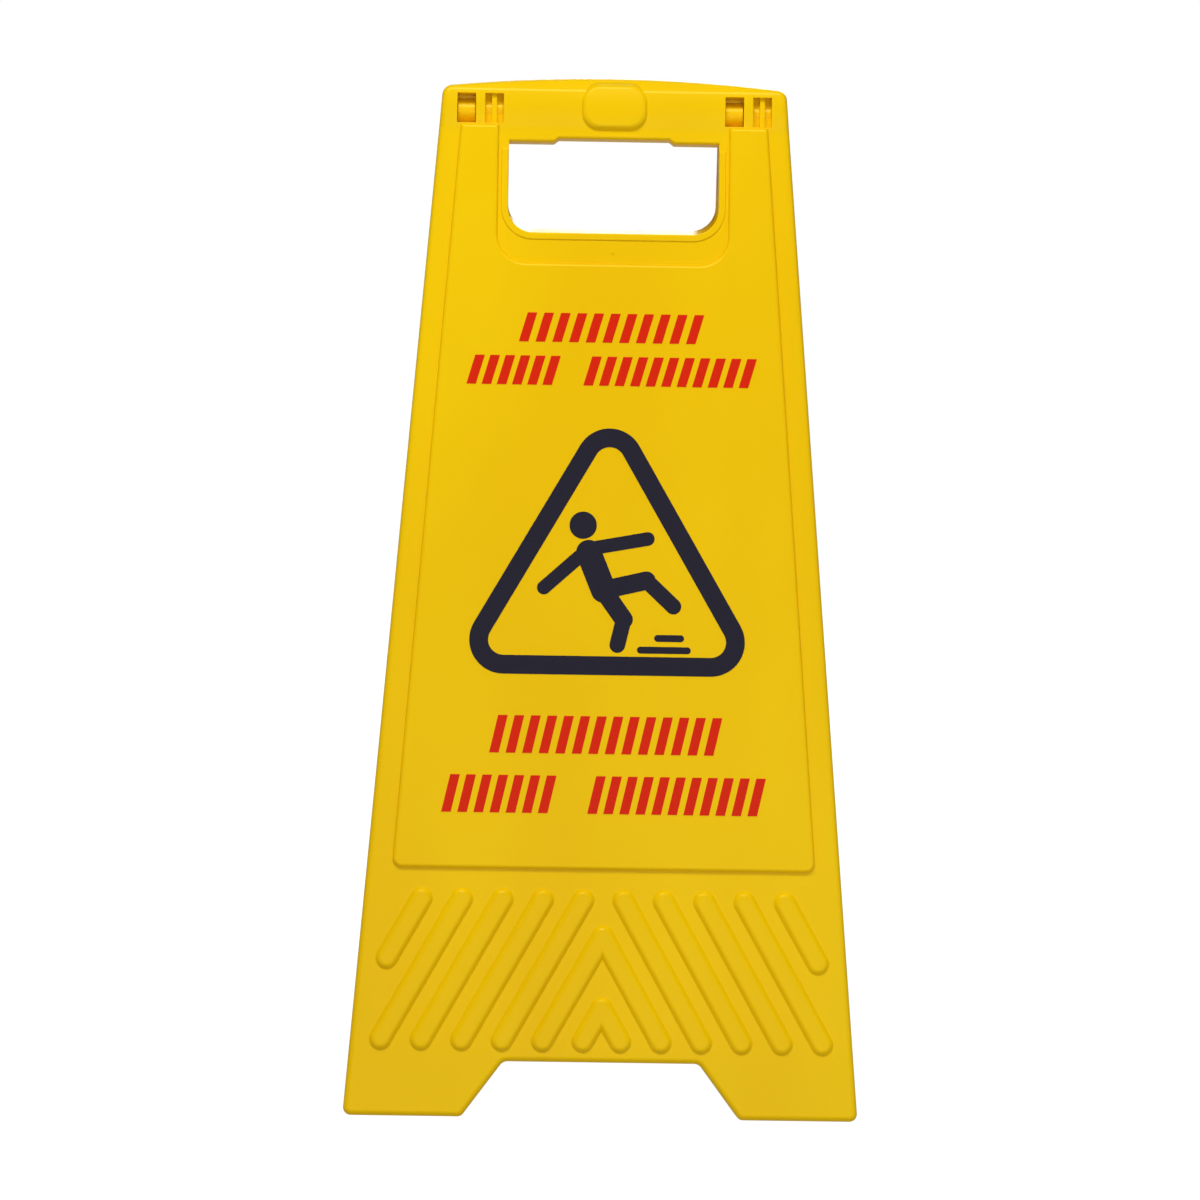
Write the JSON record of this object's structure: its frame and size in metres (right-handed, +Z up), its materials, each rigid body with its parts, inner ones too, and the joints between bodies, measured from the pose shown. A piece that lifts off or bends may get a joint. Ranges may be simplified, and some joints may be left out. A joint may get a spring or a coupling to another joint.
{
  "type": "wet floor sign",
  "caption": "Folding A-frame wet floor sign: moulded yellow panels hinged at the top on pins, with a grip opening, chevron ribs, a printed warning triangle and hazard strokes.",
  "frame": {"origin": "on the floor, midway between the feet, straight below the hinge axis", "axes": "+X to the right seen from the front, +Y towards the rear panel, +Z up"},
  "size_m": [0.2992, 0.2466, 0.6002],
  "materials": {
    "yellow_polypropylene": "injection-moulded polypropylene, semi-gloss",
    "pin_nylon": "extruded nylon rod, yellow",
    "red_print": "printed film, red",
    "black_print": "printed film, blue-black"
  },
  "bodies": {
    "front": {"front_panel": "yellow_polypropylene", "front_upper_legend": "red_print", "front_warning_triangle": "black_print", "front_slip_figure": "black_print", "front_lower_legend": "red_print", "hinge_pin_left": "pin_nylon", "hinge_pin_right": "pin_nylon"},
    "rear": {"rear_panel": "yellow_polypropylene", "rear_upper_legend": "red_print", "rear_warning_triangle": "black_print", "rear_slip_figure": "black_print", "rear_lower_legend": "red_print"}
  },
  "joints": [
    {"name": "fold_hinge", "type": "hinge", "parent": "front", "child": "rear", "pos_m": [0, 0, 0.58001], "axis": [-1, 0, 0], "range_deg": [0, 22]}
  ]
}
